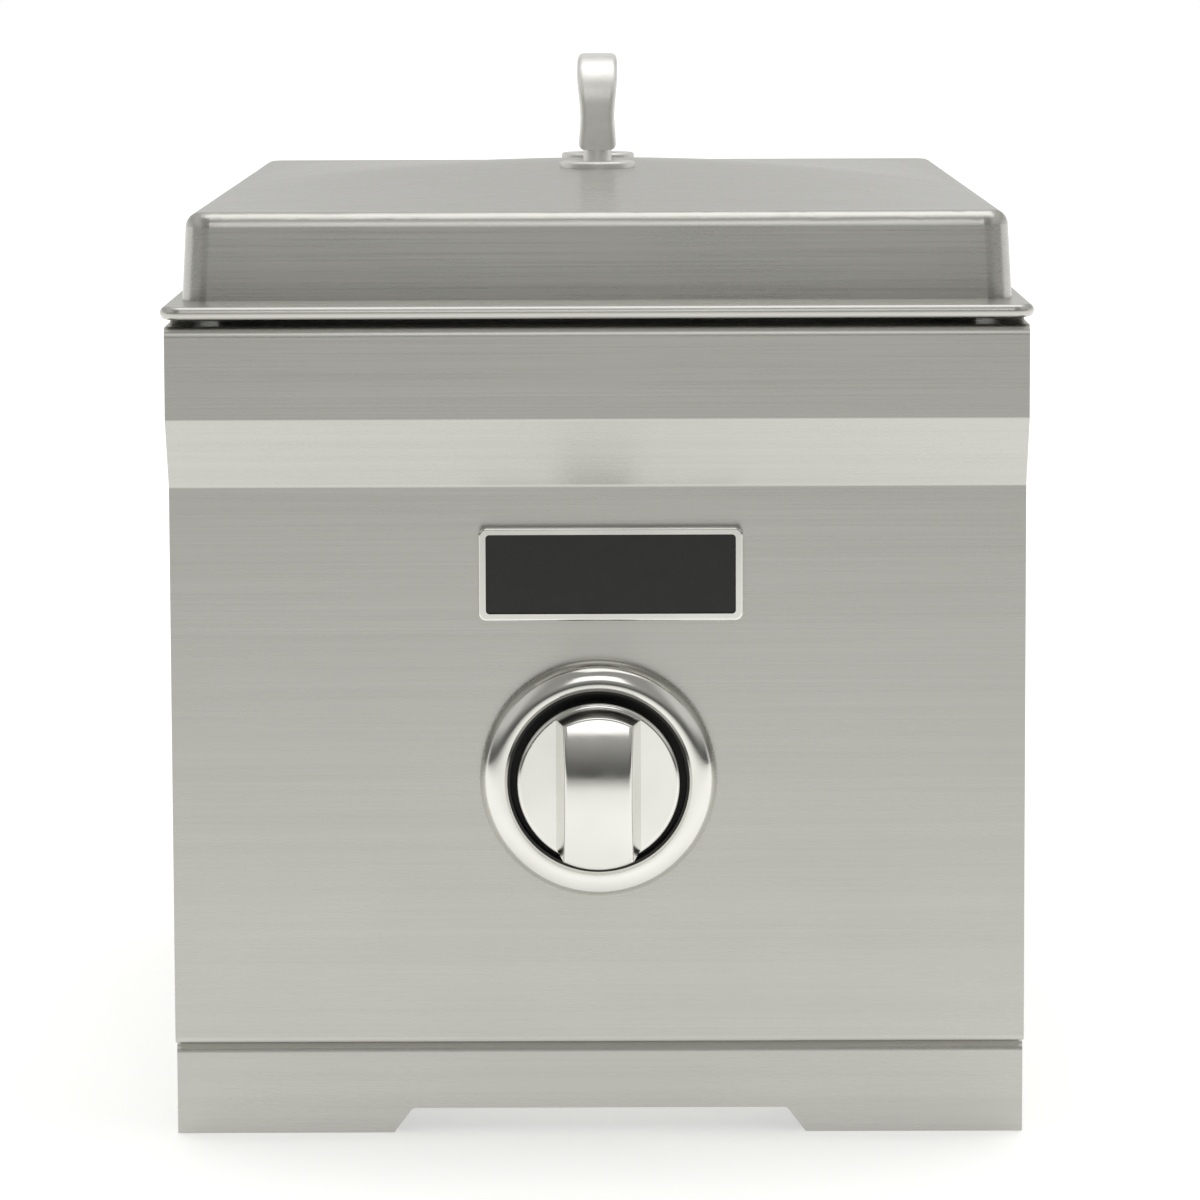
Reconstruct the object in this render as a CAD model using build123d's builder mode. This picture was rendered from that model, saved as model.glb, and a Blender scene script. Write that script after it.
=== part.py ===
from build123d import *
import os
from math import sqrt

# Built-in single side burner, millimetres. +X right, front at -Y, +Z up.
# The origin is the middle of the footprint, on the surface that the burner stands on.

# Sheet stock and fits
sheet = 1.2
hole_clearance = 0.2
tap_clearance = 0.05
running_fit = 0.06
seat_gap = 0.3

# Top frame with a rolled edge
flange_width = 336.0
flange_depth = 545.0
nose_height = 5.0
frame_corner = 8.0
lip_width = 12.0
opening_width = 272.0
opening_depth = 436.0
opening_corner = 18.0
collar_depth = 8.0
relief_length = 12.0
relief_bite = 0.8

# Control panel: upper band, slanted band, recessed face
panel_lift = 39.9
face_height = 219.2
slant_height = 26.8
band_height = 36.2
panel_gap = 2.8
panel_inset = 1.9
nose_overhang = 2.0
panel_recess = 15.0
panel_depth = 26.0
panel_bend = 2.2
panel_top_round = 4.0
panel_lip = 10.0

# Front wall with a stepped foot and the notch in it
wall_thickness = 1.5
wall_inset = 1.0
step_forward = 8.0
step_round = 5.0
step_gap = 2.6
notch_height = 9.8
notch_bottom_width = 162.8
notch_top_width = 148.0
notch_round = 2.5
foot_depth = 18.0
valve_hole_radius = 26.0

# Casing
casing_inset = 19.5
front_turn = 17.0
top_turn = 7.0
bottom_turn = 20.0
rear_turn = 13.0
rear_setback = 20.0
corner_gap = 2.0
tray_height = 22.0
tray_turn = 16.0
tray_gap = 1.6
slot_length = 44.0
slot_width = 5.0
slot_pitch = 16.0
slot_count = 6
tray_slot_rows = 3
tray_slot_row_pitch = 120.0
vent_drop = 70.0

# Burner pan
well_margin = 2.0
pan_floor_height = 49.8
pan_round = 8.0
pan_rim = 7.0

# Lid
lid_front_gap = 35.0
lid_width = 324.5
lid_depth = 490.0
lid_height = 34.2
lid_draft = 1.75
lid_corner = 10.0
lid_edge_round = 6.0
crown_rise = 10.5
crown_round = 0.1
hem_width = 6.0

# Lid handle, its collars and screws
handle_span = 90.0
handle_height = 39.3
handle_leg = 12.0
handle_grip = 11.0
handle_width = 17.0
handle_waist = 14.4
handle_foot = 16.0
handle_outer_round = 20.0
handle_inner_round = 11.0
handle_edge_round = 2.6
collar_radius = 16.0
collar_thickness = 2.2
collar_neck_radius = 6.0
collar_neck_height = 4.8
handle_screw_grip = 12.0

# Cooking grate
bar_radius = 4.0
bar_count = 11
bar_pitch = 38.0
bar_rest = 8.0
rail_inset = 10.0
weld_sink = 1.0
bar_end_round = 1.5

# Burner
burner_wall = 3.0
cup_radius = 30.0
cup_height = 26.0
cup_rise = 10.0
cup_foot = 12.0
shoulder_width = 4.5
neck_height = 18.0
neck_wall = 3.3
neck_seat = 14.0
head_radius = 46.0
head_floor = 4.0
head_wall = 6.0
port_height = 10.0
port_width = 2.6
port_count = 30
head_throat = 22.0
spigot_height = 6.0
cap_overhang = 1.0
cap_thickness = 8.0
cap_round = 3.0
lug_radius = 2.4
lug_height = 4.0
lug_gap = 0.6
pan_hole_gap = 2.0

# Burner bracket
bracket_thickness = 2.0
bracket_width = 52.0
bracket_reach = 56.0
bracket_foot = 14.0

# Mixing tube and air shutter
tube_radius = 16.0
tube_wall = 1.4
tube_bend = 45.0
tube_start = 70.0
window_length = 16.0
window_height = 12.0
window_setback = 8.0
shutter_setback = 4.0
shutter_length = 24.0
shutter_wall = 1.2
thumb_radius = 3.0
thumb_height = 6.0

# Knob, bezel and ring
knob_height = 144.9
knob_radius = 31.4
knob_rear = 8.0
wing_height = 18.0
ridge_height = 46.0
ridge_width = 25.6
ridge_base_width = 33.5
ridge_crown = 85.0
ridge_inset = 0.8
ridge_end_taper = 1.5
knob_edge_round = 1.6
knob_wall = 3.0
hub_radius = 8.0
hub_rear = 9.0
knob_pocket = 6.0
bezel_radius = 46.0
bezel_gap = 4.0
bezel_height = 12.0
bezel_floor = 1.5
bezel_lip = 1.0
bezel_edge = 1.5
bezel_swell = 2.6
ring_thickness = 1.5
ring_wall = 1.0
ring_drop = 1.0
ring_inner_radius = 21.0

# Gas valve
stem_tip_radius = 3.0
stem_flat = 1.0
stem_radius = 4.0
stem_reach = 22.0
stem_step = 5.0
plug_radius = 5.0
shoulder_radius = 6.5
shoulder_length = 2.0
push_travel = 4.0
bonnet_thickness = 5.0
bonnet_width = 48.0
bonnet_tall = 26.0
bonnet_radius = 15.0
chamber_radius = 11.0
chamber_length = 19.8
thrust_thickness = 2.0
thrust_gap = 0.5
spring_wire = 1.2
spring_turns = 5
valve_width = 30.0
valve_length = 30.5
plug_length = 22.0
inlet_setback = 15.5
boss_radius = 9.0
boss_length = 10.0
gas_bore = 5.0

# Orifice
orifice_hex = 13.0
orifice_hex_length = 7.5
orifice_nose_radius = 5.0
orifice_nose_length = 10.0
orifice_thread_radius = 4.0
orifice_thread_length = 6.0
orifice_drill = 1.0
mouth_gap = 1.2

# Supply pipe and rear inlet
pipe_radius = 6.5
pipe_bore = 5.0
pipe_drop_height = 70.0
pipe_offset = 95.0
pipe_bend = 22.0
nut_flats = 22.0
nut_length = 14.0
fitting_length = 16.0
fitting_socket = 10.0
thread_radius = 8.5
thread_length = 6.0
flare_radius = 7.94
flare_length = 12.0
locknut_flats = 24.0
locknut_thickness = 4.0

# Ignition
piezo_width = 14.0
piezo_tall = 16.0
piezo_length = 34.0
piezo_setback = 3.0
terminal_radius = 2.0
terminal_length = 4.0
lead_radius = 1.5
lead_bend = 80.0
spark_gap = 4.5
spark_reach = 2.5
electrode_side = 22.0
electrode_radius = 1.0
electrode_drop = 26.0
electrode_rise = 16.0
insulator_radius = 3.5
insulator_drop = 20.0
insulator_rise = 13.0
insulator_collar_radius = 5.5
insulator_collar_height = 3.0
electrode_plate = 1.0
electrode_plate_width = 22.0

# Heat shield
shield_height = 205.0
shield_width = 220.0
shield_depth = 116.0
shield_leg = 16.0

# Badge
badge_shift = 5.0
badge_height = 225.0
badge_width = 102.5
badge_tall = 36.5
badge_border = 2.8
badge_thickness = 5.0
badge_corner = 3.0
badge_inset = 1.2
stud_radius = 1.5
stud_spacing = 70.0
stud_length = 5.0
push_nut_radius = 5.0
push_nut_thickness = 0.8

# Screws
screw_radius = 2.0
screw_head_radius = 3.6
screw_head_height = 2.4
screw_head_taper = 24.0
screw_end = 3.0
valve_screw_spacing = 32.0
panel_screw_heights = (70.0, 165.0, 260.0)
rear_screw_heights = (60.0, 165.0, 270.0)
tray_screw_spacing = 260.0
shield_screw_spacing = 160.0

# Depth stations, front to back; the knob stands out in front of the frame
knob_stand = ridge_height - panel_recess - nose_overhang
front_y = (knob_stand - flange_depth) / 2
rear_y = front_y + flange_depth
band_y = front_y + nose_overhang
face_y = band_y + panel_recess
panel_back_y = face_y + panel_depth
wall_back_y = panel_back_y + wall_thickness
step_y = panel_back_y - step_forward
rear_outer_y = rear_y - rear_setback
rear_inner_y = rear_outer_y - sheet
burner_y = front_y + lid_front_gap + lid_depth / 2

# Height stations, bottom to top
slant_bottom_z = panel_lift + face_height
slant_top_z = slant_bottom_z + slant_height
panel_top_z = slant_top_z + band_height
lip_z = panel_top_z + panel_gap
step_top_z = panel_lift - step_gap
wall_top_z = lip_z - seat_gap
flange_top_z = lip_z + nose_height
under_top_z = flange_top_z - sheet
pan_floor_z = under_top_z - pan_floor_height
pan_under_z = pan_floor_z - sheet
lid_top_z = flange_top_z + lid_height
shield_screw_z = shield_height + shield_leg - screw_head_radius - corner_gap

# Half widths
panel_half = flange_width / 2 - panel_inset
wall_half = flange_width / 2 - wall_inset
box_half = flange_width / 2 - casing_inset
box_inner = box_half - sheet
panel_screw_x = panel_half - sheet - panel_lip / 2
rear_screw_x = box_inner - rear_turn / 2
screw_hole_radius = screw_radius + hole_clearance
tap_radius = screw_radius + tap_clearance

# Planes looking at the front: local x is right, local y is up, local z comes out of the panel
knob_plane = Plane(origin=(0, face_y, knob_height), x_dir=(1, 0, 0), z_dir=(0, -1, 0))
turn_plane = Plane(origin=(0, face_y, knob_height), x_dir=(1, 0, 0), z_dir=(0, 0, -1))
turn_axis = Axis((0, face_y, knob_height), (0, -1, 0))
burner_plane = Plane(origin=(0, burner_y, pan_floor_z), x_dir=(1, 0, 0), z_dir=(0, -1, 0))
burner_axis = Axis((0, burner_y, pan_floor_z), (0, 0, 1))


def screws(planes, length):
    # Pan-head screws: each head stands out of its plane, and the shank goes into it
    for plane in planes:
        with BuildSketch(plane) as head:
            Circle(screw_head_radius)
        extrude(head.sketch, amount=screw_head_height, taper=screw_head_taper)
        with BuildSketch(plane) as shank:
            Circle(screw_radius)
        extrude(shank.sketch, amount=-length)


def hexagon(flats):
    return RegularPolygon(radius=flats / 2, side_count=6, major_radius=False)


# Top frame: a sheet with a half-round edge, turned in below as a resting lip
nose_round = nose_height / 2 - tap_clearance
relief_width = lip_width - nose_round + relief_bite
frame_middle = (0, (front_y + rear_y) / 2)

with BuildPart() as frame_hollow:
    with BuildSketch(Plane.XY.offset(lip_z + sheet)):
        with Locations(frame_middle):
            RectangleRounded(flange_width - 2 * sheet, flange_depth - 2 * sheet, frame_corner - sheet)
    extrude(amount=nose_height - 2 * sheet)
    rims = frame_hollow.edges().group_by(Axis.Z)
    fillet(rims[0] + rims[-1], radius=nose_round - sheet)

with BuildPart() as top_frame:
    with BuildSketch(Plane.XY.offset(lip_z)):
        with Locations(frame_middle):
            RectangleRounded(flange_width, flange_depth, frame_corner)
    extrude(amount=nose_height)
    rims = top_frame.edges().group_by(Axis.Z)
    fillet(rims[0] + rims[-1], radius=nose_round)
    add(frame_hollow.part, mode=Mode.SUBTRACT)
    with BuildSketch(Plane.XY.offset(lip_z)):
        with Locations(frame_middle):
            Rectangle(flange_width - 2 * lip_width, flange_depth - 2 * lip_width)
    extrude(amount=sheet, mode=Mode.SUBTRACT)
    # The lip is relieved beside the front wall, so a counter meets only its sides and rear
    relief_x = flange_width / 2 - lip_width + relief_width / 2
    relief_y = wall_back_y + sheet + corner_gap - relief_length / 2
    with BuildSketch(Plane.XY.offset(lip_z)):
        with Locations((relief_x, relief_y), (-relief_x, relief_y)):
            Rectangle(relief_width, relief_length)
    extrude(amount=sheet, mode=Mode.SUBTRACT)
    with BuildSketch(Plane.XY.offset(under_top_z - collar_depth)):
        with Locations((0, burner_y)):
            RectangleRounded(opening_width + 2 * sheet, opening_depth + 2 * sheet, opening_corner + sheet)
    extrude(amount=collar_depth)
    with BuildSketch(Plane.XY.offset(under_top_z - collar_depth)):
        with Locations((0, burner_y)):
            RectangleRounded(opening_width, opening_depth, opening_corner)
    extrude(amount=collar_depth + sheet, mode=Mode.SUBTRACT)

# Burner pan: a pressed well under the frame, with its rim against the frame's underside
well_width = opening_width + 2 * sheet + 2 * well_margin
well_depth = opening_depth + 2 * sheet + 2 * well_margin
well_corner = opening_corner + sheet + well_margin
bracket_screw_x = bracket_reach + bracket_foot / 2
electrode_distance = head_radius + cap_overhang + spark_gap
electrode_y = burner_y - sqrt(electrode_distance**2 - electrode_side**2)

with BuildPart() as burner_pan:
    with BuildSketch(Plane.XY.offset(pan_under_z)):
        with Locations((0, burner_y)):
            RectangleRounded(well_width + 2 * sheet, well_depth + 2 * sheet, well_corner + sheet)
    extrude(amount=under_top_z - pan_under_z)
    fillet(burner_pan.faces().sort_by(Axis.Z)[0].edges(), radius=pan_round + sheet)
    offset(amount=-sheet, openings=burner_pan.faces().sort_by(Axis.Z)[-1])
    with BuildSketch(Plane.XY.offset(under_top_z - sheet)):
        with Locations((0, burner_y)):
            RectangleRounded(well_width + 2 * pan_rim, well_depth + 2 * pan_rim, well_corner + pan_rim)
            RectangleRounded(well_width, well_depth, well_corner, mode=Mode.SUBTRACT)
    extrude(amount=sheet)
    with BuildSketch(Plane.XY.offset(pan_under_z)):
        with Locations((0, burner_y)):
            Circle(cup_radius + pan_hole_gap)
        with Locations((bracket_screw_x, burner_y), (-bracket_screw_x, burner_y)):
            Circle(screw_hole_radius)
        with Locations((electrode_side, electrode_y)):
            Circle(insulator_radius + hole_clearance)
    extrude(amount=sheet, mode=Mode.SUBTRACT)

# Control panel: one folded shell, open behind, with cheeks turned in at the back
badge_centre = (badge_shift, badge_height)
stud_places = [(badge_shift - stud_spacing / 2, badge_height), (badge_shift + stud_spacing / 2, badge_height)]
valve_screw_places = [(-valve_screw_spacing / 2, knob_height), (valve_screw_spacing / 2, knob_height)]
panel_screw_places = [(x, z) for x in (-panel_screw_x, panel_screw_x) for z in panel_screw_heights]
shield_screw_places = [(side * shield_screw_spacing / 2, shield_screw_z) for side in (-1, 1)]


def panel_form(inset):
    # The panel as a block, set in all round by the given thickness
    with BuildSketch(Plane.YZ) as profile:
        with BuildLine():
            Polyline(
                (panel_back_y - inset, panel_top_z - inset),
                (band_y + inset, panel_top_z - inset),
                (band_y + inset, slant_top_z),
                (face_y + inset, slant_bottom_z),
                (face_y + inset, panel_lift + inset),
                (panel_back_y - inset, panel_lift + inset),
                close=True,
            )
        make_face()
        low_corners = profile.vertices().sort_by(Axis.X)[:-2].sort_by(Axis.Y)[:-1]
        fillet(low_corners, radius=panel_bend - inset)
        top_corner = profile.vertices().sort_by(Axis.Y)[-2:].sort_by(Axis.X)[0]
        fillet(top_corner, radius=panel_top_round - inset)
    extrude(profile.sketch, amount=panel_half - inset, both=True)


with BuildPart() as panel_hollow:
    panel_form(sheet)

with BuildPart() as control_panel:
    panel_form(0)
    add(panel_hollow.part, mode=Mode.SUBTRACT)
    with BuildSketch(Plane.XZ.offset(-panel_back_y)):
        with Locations((0, (panel_lift + panel_top_z) / 2)):
            Rectangle(2 * (panel_half - sheet - panel_lip), panel_top_z - panel_lift - 2 * sheet)
    extrude(amount=sheet, mode=Mode.SUBTRACT)
    with BuildSketch(Plane.XZ.offset(-panel_back_y)):
        with Locations(*panel_screw_places):
            Circle(screw_hole_radius)
    extrude(amount=sheet, mode=Mode.SUBTRACT)
    with BuildSketch(Plane.XZ.offset(-face_y)):
        with Locations((0, knob_height)):
            Circle(shoulder_radius)
        with Locations(*valve_screw_places):
            Circle(screw_hole_radius)
        with Locations(*stud_places):
            Circle(stud_radius + hole_clearance)
    extrude(amount=-sheet, mode=Mode.SUBTRACT)

# Front wall: closes the casing behind the panel and steps forward under it, with a rounded top to the step
notch_half = notch_bottom_width / 2
notch_half_top = notch_top_width / 2


def step_form(inset, mode):
    # The stepped foot as a block, set in by the given thickness all round but behind
    with BuildSketch(Plane.YZ) as profile:
        with BuildLine():
            Polyline(
                (step_y + inset, inset),
                (wall_back_y, inset),
                (wall_back_y, step_top_z - inset),
                (step_y + inset, step_top_z - inset),
                close=True,
            )
        make_face()
        fillet(profile.vertices().sort_by(Axis.Y)[-2:].sort_by(Axis.X)[0], radius=step_round - inset)
    extrude(profile.sketch, amount=wall_half - inset, both=True, mode=mode)


with BuildPart() as front_wall:
    step_form(0, Mode.ADD)
    step_form(wall_thickness, Mode.SUBTRACT)
    with BuildSketch(Plane.XZ.offset(-step_y)) as notch:
        with BuildLine():
            Polyline(
                (-notch_half, 0),
                (-notch_half_top, notch_height),
                (notch_half_top, notch_height),
                (notch_half, 0),
                close=True,
            )
        make_face()
        fillet(notch.vertices().group_by(Axis.Y)[-1], radius=notch_round)
    extrude(amount=step_y - wall_back_y, mode=Mode.SUBTRACT)
    with BuildSketch(Plane.XZ.offset(-panel_back_y)):
        plate_bottom_z = step_top_z - wall_thickness
        with Locations((0, plate_bottom_z)):
            Rectangle(2 * wall_half, wall_top_z - plate_bottom_z, align=(Align.CENTER, Align.MIN))
        with Locations((0, knob_height)):
            Circle(valve_hole_radius, mode=Mode.SUBTRACT)
        with Locations(*panel_screw_places):
            Circle(screw_hole_radius, mode=Mode.SUBTRACT)
        with Locations(*shield_screw_places):
            Circle(screw_hole_radius, mode=Mode.SUBTRACT)
    extrude(amount=-wall_thickness)
    foot_length = wall_half - notch_half
    with BuildSketch(Plane.XY):
        with Locations((-notch_half, panel_back_y), (notch_half + foot_length, panel_back_y)):
            Rectangle(foot_length, foot_depth, align=(Align.MAX, Align.MIN))
    extrude(amount=wall_thickness)

# Side panels: a web with its edges turned, the right one mirrored to the left
web_front = wall_back_y
web_rear = rear_inner_y
foot_clear = wall_thickness + corner_gap
foot_end_y = panel_back_y + foot_depth + corner_gap
tray_screw_z = tray_height + sheet + (tray_turn - sheet) / 2
tray_screw_ys = (burner_y - tray_screw_spacing / 2, burner_y + tray_screw_spacing / 2)
vent_z = under_top_z - vent_drop

with BuildPart() as right_side_panel:
    with BuildSketch(Plane.YZ.offset(box_inner)):
        with BuildLine():
            Polyline(
                (web_front, foot_clear),
                (foot_end_y, foot_clear),
                (foot_end_y, 0),
                (web_rear, 0),
                (web_rear, under_top_z),
                (web_front, under_top_z),
                close=True,
            )
        make_face()
        with Locations(*[(y, tray_screw_z) for y in tray_screw_ys]):
            Circle(screw_hole_radius, mode=Mode.SUBTRACT)
        with Locations((burner_y, vent_z - slot_length)):
            with GridLocations(slot_pitch, 0, slot_count, 1):
                SlotOverall(slot_length, slot_width, rotation=90, mode=Mode.SUBTRACT)
    extrude(amount=sheet)
    with BuildSketch(Plane.XZ.offset(-web_front)):
        with Locations((box_half, foot_clear)):
            Rectangle(front_turn, panel_top_z - foot_clear, align=(Align.MIN, Align.MIN))
        with Locations(*[(panel_screw_x, z) for z in panel_screw_heights]):
            Circle(screw_hole_radius, mode=Mode.SUBTRACT)
    extrude(amount=-sheet)
    with BuildSketch(Plane.XZ.offset(-web_rear)):
        with Locations((box_inner, foot_clear)):
            Rectangle(rear_turn, under_top_z - 2 * foot_clear, align=(Align.MAX, Align.MIN))
        with Locations(*[(rear_screw_x, z) for z in rear_screw_heights]):
            Circle(screw_hole_radius, mode=Mode.SUBTRACT)
    extrude(amount=sheet)
    top_turn_start = web_front + sheet + corner_gap
    with BuildSketch(Plane.XY.offset(under_top_z - sheet)):
        with Locations((box_half, top_turn_start)):
            Rectangle(top_turn, web_rear - corner_gap - top_turn_start, align=(Align.MIN, Align.MIN))
    extrude(amount=sheet)
    with BuildSketch(Plane.XY):
        with Locations((box_inner, foot_end_y)):
            bottom_length = web_rear - foot_depth - corner_gap - foot_end_y
            Rectangle(bottom_turn, bottom_length, align=(Align.MAX, Align.MIN))
    extrude(amount=sheet)

with BuildPart() as left_side_panel:
    mirror(right_side_panel.part, about=Plane.YZ)

# Rear panel with the vents and the hole for the gas inlet
with BuildPart() as rear_panel:
    with BuildSketch(Plane.XZ.offset(-rear_outer_y)):
        with Locations((0, under_top_z / 2)):
            Rectangle(2 * box_half, under_top_z)
        with Locations((pipe_offset, pipe_drop_height)):
            Circle(thread_radius + hole_clearance, mode=Mode.SUBTRACT)
        with Locations(*[(x, z) for x in (-rear_screw_x, rear_screw_x) for z in rear_screw_heights]):
            Circle(screw_hole_radius, mode=Mode.SUBTRACT)
        with Locations((0, vent_z - slot_length)):
            with GridLocations(slot_pitch, 0, slot_count, 1):
                SlotOverall(slot_length, slot_width, rotation=90, mode=Mode.SUBTRACT)
    extrude(amount=sheet)
    with BuildSketch(Plane.XY.offset(under_top_z - sheet)):
        with Locations((0, rear_outer_y)):
            Rectangle(2 * box_half, top_turn, align=(Align.CENTER, Align.MIN))
    extrude(amount=sheet)
    with BuildSketch(Plane.XY):
        with Locations((0, rear_inner_y)):
            Rectangle(2 * (box_inner - seat_gap), foot_depth, align=(Align.CENTER, Align.MAX))
    extrude(amount=sheet)

# Bottom tray with vents, its sides turned up against the side panels
tray_front = wall_back_y + tray_gap
tray_rear = rear_inner_y - tray_gap
tray_middle = (tray_front + tray_rear) / 2

with BuildPart() as bottom_tray:
    with BuildSketch(Plane.XY.offset(tray_height)):
        with Locations((0, tray_middle)):
            Rectangle(2 * box_inner, tray_rear - tray_front)
            with GridLocations(slot_pitch, tray_slot_row_pitch, slot_count, tray_slot_rows):
                SlotOverall(slot_length, slot_width, rotation=90, mode=Mode.SUBTRACT)
    extrude(amount=sheet)
    with BuildSketch(Plane.XY.offset(tray_height)):
        with Locations((box_inner - sheet / 2, tray_middle), (sheet / 2 - box_inner, tray_middle)):
            Rectangle(sheet, tray_rear - tray_front)
    extrude(amount=tray_turn)
    with BuildSketch(Plane.YZ.offset(-box_inner)):
        with Locations(*[(y, tray_screw_z) for y in tray_screw_ys]):
            Circle(screw_hole_radius)
    extrude(amount=2 * box_inner, mode=Mode.SUBTRACT)

# Heat shield over the valve, hung on the front wall
with BuildPart() as heat_shield:
    with BuildSketch(Plane.YZ):
        with BuildLine():
            FilletPolyline(
                (wall_back_y + sheet / 2, shield_height + shield_leg),
                (wall_back_y + sheet / 2, shield_height + sheet / 2),
                (wall_back_y + shield_depth, shield_height + sheet / 2),
                radius=panel_bend,
            )
        trace(line_width=sheet)
    extrude(amount=shield_width / 2, both=True)
    with BuildSketch(Plane.XZ.offset(-wall_back_y)):
        with Locations(*shield_screw_places):
            Circle(screw_hole_radius)
    extrude(amount=-sheet, mode=Mode.SUBTRACT)

# Lid: a drafted shell with a shallow crown and a turned-in hem
lid_middle = (0, burner_y)
crown_half_width = lid_width / 2 - lid_draft - lid_edge_round - sheet
crown_half_depth = lid_depth / 2 - lid_draft - lid_edge_round - sheet
crown_skirt = 2 * sheet
handle_ys = [burner_y + side * handle_span / 2 for side in (-1, 1)]
foot_share = handle_span / 2 / crown_half_depth
# Slices stand closest where the crown bends most, none of them on the peak itself
crown_shares = (crown_round / 4, crown_round, foot_share, 3 * crown_round, 1.0)


def crown_height(share):
    # The crown runs up from both ends of the lid to a softly rounded peak in the middle
    slope = sqrt(1 + crown_round**2)
    return (crown_rise + seat_gap / 2) * (slope - sqrt(share**2 + crown_round**2)) / (slope - crown_round)


def crown(lowering, mode):
    # Arched slices across the lid, the end ones almost flat
    edge_z = lid_top_z - lowering - seat_gap
    slices = []
    for share in sorted(side * part for side in (-1, 1) for part in crown_shares):
        rise = seat_gap / 2 + crown_height(share)
        with BuildSketch(Plane.XZ.offset(-(burner_y + share * crown_half_depth))) as arch:
            with BuildLine():
                Polyline(
                    (crown_half_width, edge_z),
                    (crown_half_width, edge_z - crown_skirt),
                    (-crown_half_width, edge_z - crown_skirt),
                    (-crown_half_width, edge_z),
                )
                ThreePointArc((-crown_half_width, edge_z), (0, edge_z + rise), (crown_half_width, edge_z))
            make_face()
        slices.append(arch.sketch)
    loft(slices, ruled=True, mode=mode)


def lid_form(inset):
    # The lid as a block, with its walls and top set in by the given thickness
    outlines = []
    for height, draft in ((flange_top_z, 0), (lid_top_z - inset, lid_draft)):
        set_in = 2 * (inset + draft)
        with BuildSketch(Plane.XY.offset(height)) as outline:
            with Locations(lid_middle):
                RectangleRounded(lid_width - set_in, lid_depth - set_in, lid_corner - inset)
        outlines.append(outline.sketch)
    loft(outlines)
    fillet(faces().sort_by(Axis.Z)[-1].edges(), radius=lid_edge_round - inset)
    crown(inset, Mode.ADD)


with BuildPart() as lid_hollow:
    lid_form(sheet)

with BuildPart() as lid_shell:
    lid_form(0)
    add(lid_hollow.part, mode=Mode.SUBTRACT)
    with BuildSketch(Plane.XY.offset(flange_top_z)):
        with Locations(lid_middle):
            RectangleRounded(lid_width - sheet, lid_depth - sheet, lid_corner - sheet / 2)
            hem_in = 2 * hem_width
            RectangleRounded(lid_width - hem_in, lid_depth - hem_in, lid_corner / 2, mode=Mode.SUBTRACT)
    extrude(amount=sheet)
    with BuildSketch(Plane.XY.offset(flange_top_z)):
        with Locations(*[(0, y) for y in handle_ys]):
            Circle(screw_hole_radius)
    extrude(amount=lid_height + crown_rise, mode=Mode.SUBTRACT)

# Handle collars: a disc shaped to the crown, with a neck
collar_z = lid_top_z - seat_gap / 2 + crown_height(foot_share)
collar_top_z = collar_z + collar_thickness + collar_neck_height

with BuildPart() as handle_collars:
    with BuildSketch(Plane.XY.offset(collar_z - collar_thickness)):
        with Locations(*[(0, y) for y in handle_ys]):
            Circle(collar_radius)
    extrude(amount=2 * collar_thickness)
    fillet(handle_collars.edges().group_by(Axis.Z)[-1], radius=collar_thickness / 2)
    with BuildSketch(Plane.XY.offset(collar_z)):
        with Locations(*[(0, y) for y in handle_ys]):
            Circle(collar_neck_radius)
    extrude(amount=collar_thickness + collar_neck_height)
    with BuildSketch(Plane.XY.offset(collar_z - collar_thickness)):
        with Locations(*[(0, y) for y in handle_ys]):
            Circle(screw_hole_radius)
    extrude(amount=2 * collar_thickness + collar_neck_height, mode=Mode.SUBTRACT)
    # What lies on or under the crown's skin is cut away, so the disc follows the crown
    crown(0, Mode.SUBTRACT)

# Handle: a bow seen from the side, waisted when seen from the front
handle_half = handle_span / 2 + handle_leg / 2
handle_top_z = collar_top_z + handle_height

with BuildPart() as lid_handle:
    with BuildSketch(Plane.YZ) as bow:
        with Locations((burner_y, collar_top_z)):
            Rectangle(2 * handle_half, handle_height, align=(Align.CENTER, Align.MIN))
        fillet(bow.vertices().group_by(Axis.Y)[-1], radius=handle_outer_round)
    extrude(amount=handle_width, both=True)
    with BuildSketch(Plane.YZ) as gap:
        with Locations((burner_y, collar_top_z)):
            Rectangle(
                2 * handle_half - 2 * handle_leg, handle_height - handle_grip, align=(Align.CENTER, Align.MIN)
            )
        fillet(gap.vertices().group_by(Axis.Y)[-1], radius=handle_inner_round)
    extrude(amount=handle_width, both=True, mode=Mode.SUBTRACT)
    with BuildSketch(Plane.XZ.offset(-burner_y)):
        with BuildLine():
            right = Spline(
                (handle_foot / 2, collar_top_z),
                (handle_waist / 2, collar_top_z + handle_height / 3),
                (handle_width / 2, collar_top_z + 3 * handle_height / 4),
                (handle_width / 2, handle_top_z),
                tangents=((0, 1), (0, 1)),
            )
            mirror(right, about=Plane.YZ)
            Line((-handle_width / 2, handle_top_z), (handle_width / 2, handle_top_z))
            Line((-handle_foot / 2, collar_top_z), (handle_foot / 2, collar_top_z))
        make_face()
    extrude(amount=2 * handle_half, both=True, mode=Mode.INTERSECT)
    fillet(lid_handle.edges().filter_by(Axis.X, reverse=True), radius=handle_edge_round)
    with BuildSketch(Plane.XY.offset(collar_top_z)):
        with Locations(*[(0, y) for y in handle_ys]):
            Circle(tap_radius)
    extrude(amount=handle_screw_grip, mode=Mode.SUBTRACT)

with BuildPart() as handle_screws:
    screw_seat_z = collar_z - sheet - seat_gap
    screws(
        [Plane(origin=(0, y, screw_seat_z), z_dir=(0, 0, -1)) for y in handle_ys],
        collar_top_z - screw_seat_z + handle_screw_grip - screw_end,
    )

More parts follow.
